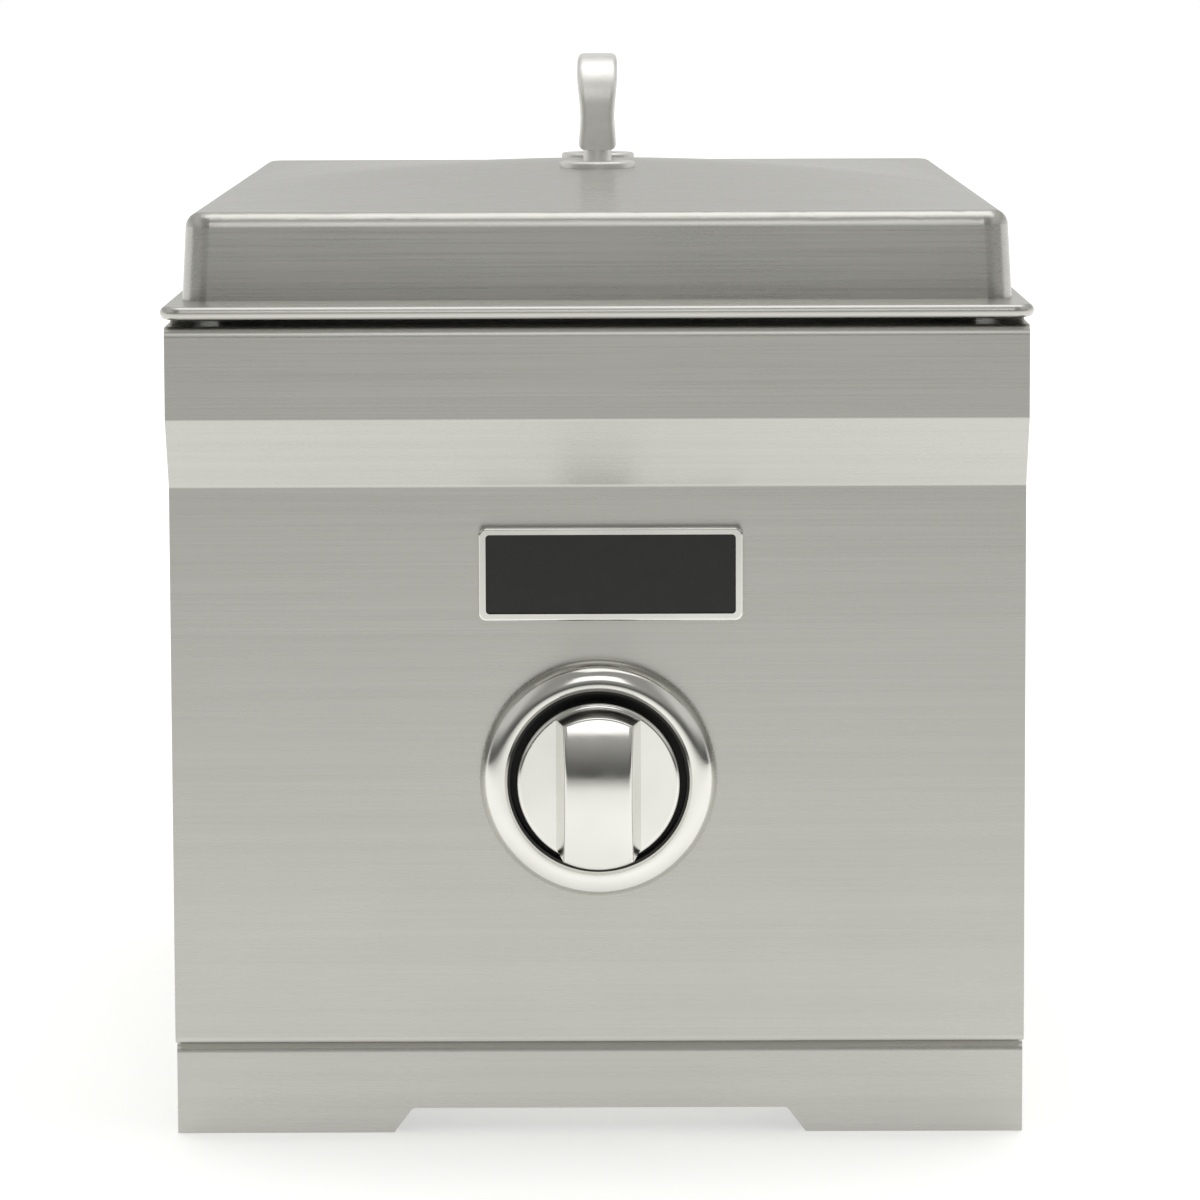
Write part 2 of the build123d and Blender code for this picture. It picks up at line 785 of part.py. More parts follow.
# Cooking grate: welded rods, the cross bars lying on the frame at both sides of the opening
bar_length = opening_width + 2 * bar_rest
bar_z = flange_top_z + seat_gap + bar_radius
rail_x = opening_width / 2 - rail_inset
rail_z = bar_z - 2 * bar_radius + weld_sink
rail_length = (bar_count - 1) * bar_pitch + 2 * bar_rest

with BuildPart() as cooking_grate:
    with BuildSketch(Plane.YZ.offset(-bar_length / 2)):
        with Locations((burner_y, bar_z)):
            with GridLocations(bar_pitch, 0, bar_count, 1):
                Circle(bar_radius)
    extrude(amount=bar_length)
    fillet(cooking_grate.edges().filter_by(GeomType.CIRCLE), radius=bar_end_round)
    with BuildSketch(Plane.XZ.offset(rail_length / 2 - burner_y)):
        with Locations((rail_x, rail_z), (-rail_x, rail_z)):
            Circle(bar_radius)
    extrude(amount=-rail_length)

# Burner base: cup, shoulder and neck in one casting; heights are from the pan floor
cup_top = cup_rise
cup_bottom = cup_top - cup_height
shoulder_z = cup_bottom - cup_foot
neck_bottom = shoulder_z - neck_height
neck_bore = tube_radius + running_fit
neck_radius = neck_bore + neck_wall
tube_end = neck_bottom + neck_seat
tube_bore = tube_radius - tube_wall

with BuildPart() as burner_base:
    with BuildSketch(burner_plane):
        with BuildLine():
            Polyline(
                (neck_bore, neck_bottom),
                (neck_radius, neck_bottom),
                (neck_radius, shoulder_z),
                (neck_radius + shoulder_width, shoulder_z),
                (cup_radius, cup_bottom),
                (cup_radius, cup_top),
                (cup_radius - burner_wall, cup_top),
                (cup_radius - burner_wall, cup_bottom),
                (tube_bore, shoulder_z),
                (tube_bore, tube_end),
                (neck_bore, tube_end),
                close=True,
            )
        make_face()
    revolve(axis=burner_axis)

# Burner head: a crown of ports that stands in the cup
spigot_radius = cup_radius - burner_wall - running_fit
head_top = cup_top + head_floor + port_height

with BuildPart() as burner_head:
    with BuildSketch(burner_plane):
        with BuildLine():
            Polyline(
                (head_throat, cup_top - spigot_height),
                (spigot_radius, cup_top - spigot_height),
                (spigot_radius, cup_top),
                (head_radius - head_wall, cup_top),
                (head_radius, cup_top + head_floor),
                (head_radius, head_top),
                (head_radius - head_wall, head_top),
                (head_radius - head_wall, cup_top + head_floor),
                (head_throat, cup_top + head_floor),
                close=True,
            )
        make_face()
    revolve(axis=burner_axis)
    with BuildSketch(Plane.XY.offset(pan_floor_z + cup_top + head_floor)):
        with Locations((0, burner_y)):
            with PolarLocations(head_radius - head_wall / 2, port_count):
                Rectangle(2 * head_wall, port_width)
    extrude(amount=port_height, mode=Mode.SUBTRACT)

# Burner cap with four locating lugs
cap_radius = head_radius + cap_overhang
lug_circle = head_radius - head_wall - lug_radius - lug_gap

with BuildPart() as burner_cap:
    with BuildSketch(Plane.XY.offset(pan_floor_z + head_top)):
        with Locations((0, burner_y)):
            Circle(cap_radius)
    extrude(amount=cap_thickness)
    fillet(burner_cap.edges().group_by(Axis.Z)[-1], radius=cap_round)
    with BuildSketch(Plane.XY.offset(pan_floor_z + head_top - lug_height)):
        with Locations((0, burner_y)):
            with PolarLocations(lug_circle, 4):
                Circle(lug_radius)
    extrude(amount=lug_height)

# Burner bracket: a strap under the base's shoulder, screwed to the pan
strap_z = pan_floor_z + shoulder_z - bracket_thickness

with BuildPart() as burner_bracket:
    with BuildSketch(Plane.XY.offset(strap_z)):
        with Locations((0, burner_y)):
            Rectangle(2 * bracket_reach, bracket_width)
            Circle(neck_radius + running_fit, mode=Mode.SUBTRACT)
    extrude(amount=bracket_thickness)
    for side in (-1, 1):
        with BuildSketch(Plane.XY.offset(strap_z)):
            with Locations((side * (bracket_reach - bracket_thickness / 2), burner_y)):
                Rectangle(bracket_thickness, bracket_width)
        extrude(amount=pan_under_z - strap_z)
        with BuildSketch(Plane.XY.offset(pan_under_z - bracket_thickness)):
            with Locations((side * bracket_screw_x, burner_y)):
                Rectangle(bracket_foot, bracket_width)
                Circle(screw_hole_radius, mode=Mode.SUBTRACT)
        extrude(amount=bracket_thickness)

with BuildPart() as burner_screws:
    screws(
        [Plane(origin=(side * bracket_screw_x, burner_y, pan_floor_z)) for side in (-1, 1)],
        sheet + bracket_thickness + screw_end,
    )

# Mixing tube from the orifice back and up to the burner, with two air windows
tube_start_y = face_y + tube_start
tube_mouth = Plane(origin=(0, tube_start_y, knob_height), x_dir=(1, 0, 0), z_dir=(0, 1, 0))
window_y = tube_start_y + window_setback + window_length / 2

with BuildPart() as mixing_tube:
    with BuildLine():
        FilletPolyline(
            (0, tube_start_y, knob_height),
            (0, burner_y, knob_height),
            (0, burner_y, pan_floor_z + tube_end),
            radius=tube_bend,
        )
    with BuildSketch(tube_mouth):
        Circle(tube_radius)
        Circle(tube_bore, mode=Mode.SUBTRACT)
    sweep()
    with BuildSketch(tube_mouth):
        Circle(tube_radius)
        Circle(orifice_nose_radius + mouth_gap, mode=Mode.SUBTRACT)
    extrude(amount=tube_wall)
    with BuildSketch(Plane.YZ.offset(-2 * tube_radius)):
        with Locations((window_y, knob_height)):
            Rectangle(window_length, window_height)
    extrude(amount=4 * tube_radius, mode=Mode.SUBTRACT)

# Air shutter: a sleeve that turns on the tube, held by a thumb screw
shutter_bore = tube_radius + running_fit
shutter_radius = shutter_bore + shutter_wall
shutter_plane = tube_mouth.offset(shutter_setback)
thumb_y = tube_start_y + shutter_setback + shutter_length / 2

with BuildPart() as air_shutter:
    with BuildSketch(shutter_plane):
        Circle(shutter_radius)
        Circle(shutter_bore, mode=Mode.SUBTRACT)
    extrude(amount=shutter_length)
    with BuildSketch(Plane.YZ.offset(-2 * tube_radius)):
        with Locations((window_y, knob_height)):
            Rectangle(window_length, window_height)
    extrude(amount=4 * tube_radius, mode=Mode.SUBTRACT)
    with BuildSketch(Plane.XY.offset(knob_height)):
        with Locations((0, thumb_y)):
            Circle(tap_radius)
    extrude(amount=2 * tube_radius, mode=Mode.SUBTRACT)

with BuildPart() as shutter_screw:
    with BuildSketch(Plane.XY.offset(knob_height + shutter_bore + running_fit)):
        with Locations((0, thumb_y)):
            Circle(screw_radius)
    extrude(amount=2 * shutter_wall)
    with BuildSketch(Plane.XY.offset(knob_height + shutter_radius + seat_gap)):
        with Locations((0, thumb_y)):
            Circle(thumb_radius)
    extrude(amount=thumb_height)
    chamfer(shutter_screw.edges().group_by(Axis.Z)[-1], length=thumb_radius / 4)

# Knob bezel: a domed ring that rises to its lip, with a floor that the valve screws hold
bezel_bore = knob_radius + bezel_gap

with BuildPart() as knob_bezel:
    with BuildSketch(turn_plane):
        with BuildLine():
            base = Polyline(
                (bezel_bore + bezel_lip, bezel_height),
                (bezel_bore, bezel_height - bezel_lip / 2),
                (bezel_bore, bezel_floor),
                (shoulder_radius + seat_gap, bezel_floor),
                (shoulder_radius + seat_gap, 0),
                (bezel_radius, 0),
                (bezel_radius, bezel_edge),
            )
            dome_radius = (bezel_bore + bezel_lip + bezel_radius) / 2 + bezel_swell
            dome_height = (bezel_height + bezel_edge) / 2 + bezel_swell
            ThreePointArc(base @ 1, (dome_radius, dome_height), base @ 0)
        make_face()
    revolve(axis=turn_axis)
    with BuildSketch(knob_plane):
        with Locations((-valve_screw_spacing / 2, 0), (valve_screw_spacing / 2, 0)):
            Circle(screw_hole_radius)
    extrude(amount=bezel_floor, mode=Mode.SUBTRACT)

# Dark ring that lines the bezel, so the gap round the knob looks black
ring_outer_radius = bezel_bore - running_fit

with BuildPart() as bezel_ring:
    with BuildSketch(knob_plane.offset(bezel_floor)):
        Circle(ring_outer_radius)
        Circle(ring_inner_radius, mode=Mode.SUBTRACT)
    extrude(amount=ring_thickness)
    with BuildSketch(knob_plane.offset(bezel_floor)):
        Circle(ring_outer_radius)
        Circle(ring_outer_radius - ring_wall, mode=Mode.SUBTRACT)
    extrude(amount=bezel_height - bezel_floor - ring_drop)

with BuildPart() as valve_screws:
    screws(
        [Plane(origin=(x, face_y - bezel_floor, z), z_dir=(0, -1, 0)) for x, z in valve_screw_places],
        bezel_floor + sheet + bonnet_thickness - seat_gap,
    )

# Control knob: a round skirt with a drafted grip ridge, hollow behind, with a hub for the stem
ridge_plane = Plane(origin=(0, face_y, knob_height - knob_radius), x_dir=(1, 0, 0), z_dir=(0, 0, 1))

with BuildPart() as control_knob:
    with BuildSketch(ridge_plane):
        with BuildLine():
            Polyline(
                (-ridge_base_width / 2, -wing_height + knob_wall),
                (ridge_base_width / 2, -wing_height + knob_wall),
                (ridge_width / 2, -ridge_height),
                (-ridge_width / 2, -ridge_height),
                close=True,
            )
        make_face()
    extrude(amount=2 * knob_radius)
    with BuildSketch(knob_plane):
        Circle(knob_radius - ridge_inset)
    extrude(amount=ridge_height, taper=ridge_end_taper, mode=Mode.INTERSECT)
    with BuildSketch(Plane.YZ.offset(-knob_radius)):
        with Locations((face_y - ridge_height + ridge_crown, knob_height)):
            Circle(ridge_crown)
    extrude(amount=2 * knob_radius, mode=Mode.INTERSECT)
    ridge_front = control_knob.faces().sort_by(Axis.Y)[0]
    fillet(ridge_front.edges(), radius=knob_edge_round)
    with BuildSketch(knob_plane.offset(knob_rear)):
        Circle(knob_radius)
    extrude(amount=wing_height - knob_rear)
    skirt_edge = control_knob.edges().filter_by(GeomType.CIRCLE).filter_by(
        lambda edge: abs(edge.radius - knob_radius) < tap_clearance
    )
    fillet(skirt_edge.sort_by(Axis.Y)[0], radius=knob_edge_round)
    with BuildSketch(knob_plane.offset(knob_rear)):
        Circle(knob_radius - knob_wall)
        Circle(hub_radius, mode=Mode.SUBTRACT)
    extrude(amount=knob_pocket, mode=Mode.SUBTRACT)
    with BuildSketch(knob_plane.offset(knob_rear)):
        Circle(hub_radius)
    extrude(amount=hub_rear - knob_rear, mode=Mode.SUBTRACT)
    with BuildSketch(knob_plane.offset(hub_rear)) as stem_socket:
        Circle(stem_tip_radius + tap_clearance)
        with Locations((0, stem_tip_radius - stem_flat + tap_clearance)):
            Rectangle(
                2 * knob_radius, 2 * knob_radius, align=(Align.CENTER, Align.MIN), mode=Mode.SUBTRACT
            )
    extrude(amount=stem_reach + seat_gap - hub_rear, mode=Mode.SUBTRACT)

# Valve stem: a flatted tip in the knob, a shoulder, and a plug that turns in the valve
chamber_front = sheet + bonnet_thickness
chamber_back = chamber_front + chamber_length
shoulder_start = chamber_front + seat_gap
thrust_start = shoulder_start + shoulder_length + running_fit
plug_end = chamber_back + plug_length - push_travel - corner_gap

with BuildPart() as valve_stem:
    with BuildSketch(knob_plane.offset(stem_step)):
        Circle(stem_tip_radius)
        with Locations((0, stem_tip_radius - stem_flat)):
            Rectangle(
                2 * knob_radius, 2 * knob_radius, align=(Align.CENTER, Align.MIN), mode=Mode.SUBTRACT
            )
    extrude(amount=stem_reach - stem_step)
    with BuildSketch(knob_plane.offset(stem_step)):
        Circle(stem_radius)
    extrude(amount=-stem_step - shoulder_start)
    with BuildSketch(knob_plane.offset(-shoulder_start)):
        Circle(shoulder_radius)
    extrude(amount=-shoulder_length)
    with BuildSketch(knob_plane.offset(-shoulder_start)):
        Circle(plug_radius)
    extrude(amount=shoulder_start - plug_end)

with BuildPart() as stem_collar:
    with BuildSketch(knob_plane.offset(-thrust_start)):
        Circle(chamber_radius - thrust_gap)
        Circle(plug_radius + running_fit, mode=Mode.SUBTRACT)
    extrude(amount=-thrust_thickness)

# Return spring between the thrust collar and the valve body
spring_start = thrust_start + thrust_thickness + running_fit
spring_space = chamber_back - running_fit - spring_start
spring_coil = (plug_radius + chamber_radius) / 2
spring_rise = spring_space - spring_wire
spring_origin = (0, face_y + spring_start + spring_wire / 2, knob_height)

with BuildPart() as return_spring:
    with BuildLine() as spring_path:
        Helix(spring_rise / spring_turns, spring_rise, spring_coil, center=spring_origin, direction=(0, 1, 0))
    with BuildSketch(Plane(origin=spring_path.line @ 0, z_dir=spring_path.line % 0)):
        Circle(spring_wire / 2)
    sweep(is_frenet=True)

# Valve bonnet, screwed behind the panel, and valve body
with BuildPart() as valve_bonnet:
    with BuildSketch(knob_plane.offset(-sheet)):
        RectangleRounded(bonnet_width, bonnet_tall, panel_bend)
    extrude(amount=-bonnet_thickness)
    with BuildSketch(knob_plane.offset(-chamber_front)):
        Circle(bonnet_radius)
    extrude(amount=-chamber_length)
    with BuildSketch(knob_plane.offset(-chamber_front)):
        Circle(chamber_radius)
    extrude(amount=-chamber_length, mode=Mode.SUBTRACT)
    with BuildSketch(knob_plane.offset(-sheet)):
        Circle(stem_radius + running_fit)
        with Locations((-valve_screw_spacing / 2, 0), (valve_screw_spacing / 2, 0)):
            Circle(tap_radius)
    extrude(amount=-bonnet_thickness, mode=Mode.SUBTRACT)

valve_end = chamber_back + valve_length
inlet_y = face_y + chamber_back + inlet_setback
boss_bottom_z = knob_height - valve_width / 2 - boss_length

with BuildPart() as valve_body:
    with BuildSketch(knob_plane.offset(-chamber_back)):
        RectangleRounded(valve_width, valve_width, panel_bend)
    extrude(amount=-valve_length)
    with BuildSketch(Plane.XY.offset(boss_bottom_z)):
        with Locations((0, inlet_y)):
            Circle(boss_radius)
    extrude(amount=boss_length)
    with BuildSketch(knob_plane.offset(-chamber_back)):
        Circle(plug_radius + running_fit)
    extrude(amount=-plug_length, mode=Mode.SUBTRACT)
    with BuildSketch(knob_plane.offset(-chamber_back)):
        Circle(orifice_thread_radius + tap_clearance)
    extrude(amount=-valve_length, mode=Mode.SUBTRACT)
    with BuildSketch(Plane.XY.offset(boss_bottom_z)):
        with Locations((0, inlet_y)):
            Circle(gas_bore)
    extrude(amount=knob_height - boss_bottom_z, mode=Mode.SUBTRACT)

# Gas orifice: thread in the valve, hexagon, and a nose in the mouth of the mixing tube
with BuildPart() as gas_orifice:
    with BuildSketch(knob_plane.offset(orifice_thread_length - valve_end)):
        Circle(orifice_thread_radius)
    extrude(amount=-orifice_thread_length)
    with BuildSketch(knob_plane.offset(-valve_end)):
        hexagon(orifice_hex)
    extrude(amount=-orifice_hex_length)
    with BuildSketch(knob_plane.offset(-valve_end - orifice_hex_length)):
        Circle(orifice_nose_radius)
    extrude(amount=-orifice_nose_length)
    with BuildSketch(knob_plane.offset(orifice_thread_length - valve_end)):
        Circle(orifice_drill)
    extrude(amount=-orifice_thread_length - orifice_hex_length - orifice_nose_length, mode=Mode.SUBTRACT)

# Supply pipe from the valve down, across and back to the rear inlet
pipe_end_y = rear_inner_y - fitting_length + fitting_socket

with BuildPart() as supply_pipe:
    with BuildLine():
        FilletPolyline(
            (0, inlet_y, boss_bottom_z),
            (0, inlet_y, pipe_drop_height),
            (pipe_offset, inlet_y, pipe_drop_height),
            (pipe_offset, pipe_end_y, pipe_drop_height),
            radius=pipe_bend,
        )
    with BuildSketch(Plane(origin=(0, inlet_y, boss_bottom_z), z_dir=(0, 0, -1))):
        Circle(pipe_radius)
        Circle(pipe_bore, mode=Mode.SUBTRACT)
    sweep()

with BuildPart() as pipe_nut:
    with BuildSketch(Plane.XY.offset(boss_bottom_z)):
        with Locations((0, inlet_y)):
            hexagon(nut_flats)
            Circle(pipe_radius + tap_clearance, mode=Mode.SUBTRACT)
    extrude(amount=-nut_length)

# Inlet fitting through the rear panel, with its locknut outside
inlet_plane = Plane(origin=(pipe_offset, rear_inner_y, pipe_drop_height), x_dir=(1, 0, 0), z_dir=(0, 1, 0))
thread_end = sheet + thread_length

with BuildPart() as inlet_fitting:
    with BuildSketch(inlet_plane):
        hexagon(nut_flats)
    extrude(amount=-fitting_length)
    with BuildSketch(inlet_plane):
        Circle(thread_radius)
    extrude(amount=thread_end)
    with BuildSketch(inlet_plane.offset(thread_end)):
        Circle(flare_radius)
    extrude(amount=flare_length)
    with BuildSketch(inlet_plane.offset(-fitting_length)):
        Circle(pipe_radius + tap_clearance)
    extrude(amount=fitting_socket, mode=Mode.SUBTRACT)
    with BuildSketch(inlet_plane.offset(-fitting_length)):
        Circle(pipe_bore)
    extrude(amount=fitting_length + thread_end + flare_length, mode=Mode.SUBTRACT)

with BuildPart() as inlet_locknut:
    with BuildSketch(inlet_plane.offset(sheet)):
        hexagon(locknut_flats)
        Circle(thread_radius + tap_clearance, mode=Mode.SUBTRACT)
    extrude(amount=locknut_thickness)

# Ignition: piezo on the valve, lead, electrode in its insulator, and the plate that holds it
piezo_x = valve_width / 2 + piezo_width / 2
lead_start_y = face_y + chamber_back + piezo_setback + piezo_length + terminal_length
electrode_bottom_z = pan_floor_z - electrode_drop

with BuildPart() as piezo_igniter:
    with BuildSketch(knob_plane.offset(-chamber_back - piezo_setback)):
        with Locations((piezo_x, 0)):
            RectangleRounded(piezo_width, piezo_tall, panel_bend)
    extrude(amount=-piezo_length)
    with BuildSketch(knob_plane.offset(-chamber_back - piezo_setback - piezo_length)):
        with Locations((electrode_side, 0)):
            Circle(terminal_radius)
    extrude(amount=-terminal_length)

with BuildPart() as ignition_lead:
    with BuildLine():
        FilletPolyline(
            (electrode_side, lead_start_y, knob_height),
            (electrode_side, electrode_y, knob_height),
            (electrode_side, electrode_y, electrode_bottom_z),
            radius=lead_bend,
        )
    with BuildSketch(Plane(origin=(electrode_side, lead_start_y, knob_height), z_dir=(0, 1, 0))):
        Circle(lead_radius)
    sweep()

towards_burner = Vector(-electrode_side, burner_y - electrode_y, 0).normalized()
electrode_elbow = Vector(electrode_side, electrode_y, pan_floor_z + electrode_rise)

with BuildPart() as electrode:
    with BuildLine():
        FilletPolyline(
            (electrode_side, electrode_y, electrode_bottom_z),
            electrode_elbow,
            electrode_elbow + towards_burner * spark_reach,
            radius=electrode_radius * 2,
        )
    with BuildSketch(Plane(origin=(electrode_side, electrode_y, electrode_bottom_z))):
        Circle(electrode_radius)
    sweep()

with BuildPart() as insulator:
    with BuildSketch(Plane.XY.offset(pan_floor_z - insulator_drop)):
        with Locations((electrode_side, electrode_y)):
            Circle(insulator_radius)
    extrude(amount=insulator_drop + insulator_rise)
    with BuildSketch(Plane.XY.offset(pan_floor_z + electrode_plate)):
        with Locations((electrode_side, electrode_y)):
            Circle(insulator_collar_radius)
    extrude(amount=insulator_collar_height)
    with BuildSketch(Plane.XY.offset(pan_floor_z - insulator_drop)):
        with Locations((electrode_side, electrode_y)):
            Circle(electrode_radius + tap_clearance)
    extrude(amount=insulator_drop + insulator_rise, mode=Mode.SUBTRACT)

with BuildPart() as electrode_bracket:
    with BuildSketch(Plane.XY.offset(pan_floor_z)):
        with Locations((electrode_side, electrode_y)):
            RectangleRounded(electrode_plate_width, electrode_plate_width, panel_bend)
            Circle(insulator_radius + hole_clearance, mode=Mode.SUBTRACT)
    extrude(amount=electrode_plate)

# Badge: a chrome frame round a bare plate, held by studs and push nuts
badge_plane = Plane.XZ.offset(-face_y)
badge_inner_width = badge_width - 2 * badge_border
badge_inner_tall = badge_tall - 2 * badge_border

with BuildPart() as badge_frame:
    with BuildSketch(badge_plane):
        with Locations(badge_centre):
            RectangleRounded(badge_width, badge_tall, badge_corner)
    extrude(amount=badge_thickness)
    fillet(badge_frame.faces().sort_by(Axis.Y)[0].edges(), radius=badge_border / 3)
    with BuildSketch(badge_plane):
        with Locations(badge_centre):
            RectangleRounded(badge_inner_width, badge_inner_tall, badge_corner / 2)
    extrude(amount=badge_thickness, mode=Mode.SUBTRACT)

with BuildPart() as badge_plate:
    with BuildSketch(badge_plane):
        with Locations(badge_centre):
            RectangleRounded(
                badge_inner_width - 2 * tap_clearance, badge_inner_tall - 2 * tap_clearance, badge_corner / 2
            )
    extrude(amount=badge_thickness - badge_inset)
    with BuildSketch(badge_plane):
        with Locations(*stud_places):
            Circle(stud_radius)
    extrude(amount=-stud_length)

with BuildPart() as badge_push_nuts:
    with BuildSketch(badge_plane.offset(-sheet)):
        with Locations(*stud_places):
            Circle(push_nut_radius)
            Circle(stud_radius + tap_clearance, mode=Mode.SUBTRACT)
    extrude(amount=-push_nut_thickness)

# Casing screws
with BuildPart() as panel_screws:
    screws(
        [Plane(origin=(x, wall_back_y + sheet, z), z_dir=(0, 1, 0)) for x, z in panel_screw_places],
        wall_thickness + 2 * sheet + screw_end,
    )

with BuildPart() as rear_screws:
    screws(
        [
            Plane(origin=(x, rear_outer_y, z), z_dir=(0, 1, 0))
            for x in (-rear_screw_x, rear_screw_x)
            for z in rear_screw_heights
        ],
        2 * sheet + screw_end,
    )

with BuildPart() as tray_screws:
    screws(
        [
            Plane(origin=(side * box_half, y, tray_screw_z), z_dir=(side, 0, 0))
            for side in (-1, 1)
            for y in tray_screw_ys
        ],
        2 * sheet + screw_end,
    )

with BuildPart() as shield_screws:
    screws(
        [Plane(origin=(x, wall_back_y + sheet, z), z_dir=(0, 1, 0)) for x, z in shield_screw_places],
        wall_thickness + sheet + screw_end,
    )

pieces = {
    "top_frame": top_frame,
    "burner_pan": burner_pan,
    "control_panel": control_panel,
    "front_wall": front_wall,
    "left_side_panel": left_side_panel,
    "right_side_panel": right_side_panel,
    "rear_panel": rear_panel,
    "bottom_tray": bottom_tray,
    "heat_shield": heat_shield,
    "lid_shell": lid_shell,
    "lid_handle": lid_handle,
    "handle_collars": handle_collars,
    "handle_screws": handle_screws,
    "cooking_grate": cooking_grate,
    "burner_base": burner_base,
    "burner_head": burner_head,
    "burner_cap": burner_cap,
    "burner_bracket": burner_bracket,
    "burner_screws": burner_screws,
    "mixing_tube": mixing_tube,
    "air_shutter": air_shutter,
    "shutter_screw": shutter_screw,
    "knob_bezel": knob_bezel,
    "bezel_ring": bezel_ring,
    "control_knob": control_knob,
    "valve_stem": valve_stem,
    "stem_collar": stem_collar,
    "return_spring": return_spring,
    "valve_bonnet": valve_bonnet,
    "valve_body": valve_body,
    "valve_screws": valve_screws,
    "gas_orifice": gas_orifice,
    "supply_pipe": supply_pipe,
    "pipe_nut": pipe_nut,
    "inlet_fitting": inlet_fitting,
    "inlet_locknut": inlet_locknut,
    "piezo_igniter": piezo_igniter,
    "ignition_lead": ignition_lead,
    "electrode": electrode,
    "insulator": insulator,
    "electrode_bracket": electrode_bracket,
    "badge_frame": badge_frame,
    "badge_plate": badge_plate,
    "badge_push_nuts": badge_push_nuts,
    "panel_screws": panel_screws,
    "rear_screws": rear_screws,
    "tray_screws": tray_screws,
    "shield_screws": shield_screws,
}

os.makedirs("parts", exist_ok=True)
for name, piece in pieces.items():
    piece.part.label = name
    export_step(piece.part, f"parts/{name}.step")
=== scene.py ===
import math
import bpy
from mathutils import Matrix, Vector


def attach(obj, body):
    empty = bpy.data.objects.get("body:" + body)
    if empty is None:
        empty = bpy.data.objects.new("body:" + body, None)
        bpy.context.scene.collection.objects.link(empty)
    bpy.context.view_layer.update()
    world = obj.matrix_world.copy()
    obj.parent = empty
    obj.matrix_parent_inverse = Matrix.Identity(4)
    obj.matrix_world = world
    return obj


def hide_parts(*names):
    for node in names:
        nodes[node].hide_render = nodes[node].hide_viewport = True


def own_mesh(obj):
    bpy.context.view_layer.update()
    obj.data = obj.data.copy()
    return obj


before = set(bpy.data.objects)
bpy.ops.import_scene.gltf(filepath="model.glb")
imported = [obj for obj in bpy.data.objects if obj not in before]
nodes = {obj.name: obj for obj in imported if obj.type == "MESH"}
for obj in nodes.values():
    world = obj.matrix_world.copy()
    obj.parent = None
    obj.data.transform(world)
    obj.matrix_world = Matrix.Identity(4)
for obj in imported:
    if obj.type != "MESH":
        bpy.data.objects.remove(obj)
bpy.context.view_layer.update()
print("frame loaded:", len(nodes), "nodes")

mmPerMetre = 1000
white = (1, 1, 1, 1)
# where a Mix node keeps its two inputs and its result, for vectors and for colours
vectorFirst, vectorSecond, vectorResult = 4, 5, 1
colourFirst, colourSecond, colourResult = 6, 7, 2


def linear(hexText):
    # sRGB hex to the linear colour that the shaders work in
    channels = [int(hexText[i:i + 2], 16) / 255 for i in (1, 3, 5)]
    lin = [c / 12.92 if c <= 0.04045 else ((c + 0.055) / 1.055) ** 2.4 for c in channels]
    return (*lin, 1.0)


def addNode(tree, kind, settings=None, inputs=None, stops=None):
    # One node with its settings. An input that is a socket is linked, any other is set.
    # A colour ramp also has stops, each a place and a hex colour.
    node = tree.nodes.new(kind)
    for key, value in (settings or {}).items():
        setattr(node, key, value)
    for key, value in (inputs or {}).items():
        if isinstance(value, bpy.types.NodeSocket):
            tree.links.new(value, node.inputs[key])
        else:
            node.inputs[key].default_value = value
    if stops:
        marks = node.color_ramp.elements
        while len(marks) < len(stops):
            marks.new(0.5)
        for mark, (place, colour) in zip(marks, stops):
            mark.position = place
            mark.color = linear(colour)
    return node


def startMaterial(name):
    material = bpy.data.materials.new(name)
    material.use_nodes = True
    tree = material.node_tree
    return material, tree, tree.nodes["Principled BSDF"]


# A face whose normal leans further than this to the left or right counts as a side
sideLean = 0.7


def grainVectors(tree, alongMm, acrossMm):
    # Object coordinates in metres, squeezed so that noise draws out into grain.
    # The grain runs left to right, and front to back on faces that look sideways.
    coords = addNode(tree, "ShaderNodeTexCoord")
    geometry = addNode(tree, "ShaderNodeNewGeometry")
    split = addNode(tree, "ShaderNodeSeparateXYZ", inputs={"Vector": geometry.outputs["Normal"]})
    sideways = addNode(tree, "ShaderNodeMath", {"operation": "ABSOLUTE"}, {0: split.outputs["X"]})
    isSide = addNode(tree, "ShaderNodeMath", {"operation": "GREATER_THAN"}, {
        0: sideways.outputs[0], 1: sideLean})
    along, across = mmPerMetre / alongMm, mmPerMetre / acrossMm
    frontMap = addNode(tree, "ShaderNodeMapping", inputs={
        "Vector": coords.outputs["Object"], "Scale": (along, across, across)})
    sideMap = addNode(tree, "ShaderNodeMapping", inputs={
        "Vector": coords.outputs["Object"], "Scale": (across, along, across)})
    grain = addNode(tree, "ShaderNodeMix", {"data_type": "VECTOR"}, {
        "Factor": isSide.outputs[0], vectorFirst: frontMap.outputs[0], vectorSecond: sideMap.outputs[0]})
    lengthways = addNode(tree, "ShaderNodeCombineXYZ", inputs={"X": 1.0})
    depthways = addNode(tree, "ShaderNodeCombineXYZ", inputs={"Y": 1.0})
    tangent = addNode(tree, "ShaderNodeMix", {"data_type": "VECTOR"}, {
        "Factor": isSide.outputs[0], vectorFirst: lengthways.outputs[0], vectorSecond: depthways.outputs[0]})
    return coords, grain.outputs[vectorResult], tangent.outputs[vectorResult]


# Brushed 304 stainless, a No. 4 belt finish: long fine lines that stretch every reflection across the
# grain. The real lines are about 0.1 mm apart, too fine to show, so they are drawn near 1 mm.
brushedSheet = {
    "dark": "#b8b7b2", "light": "#c1c0bb", "roughness": (0.25, 0.31), "aniso": 0.7,
    "lineMm": (160, 0.8), "bandMm": (400, 5.0), "bump": 0.03, "bumpDepthMm": 0.02,
}
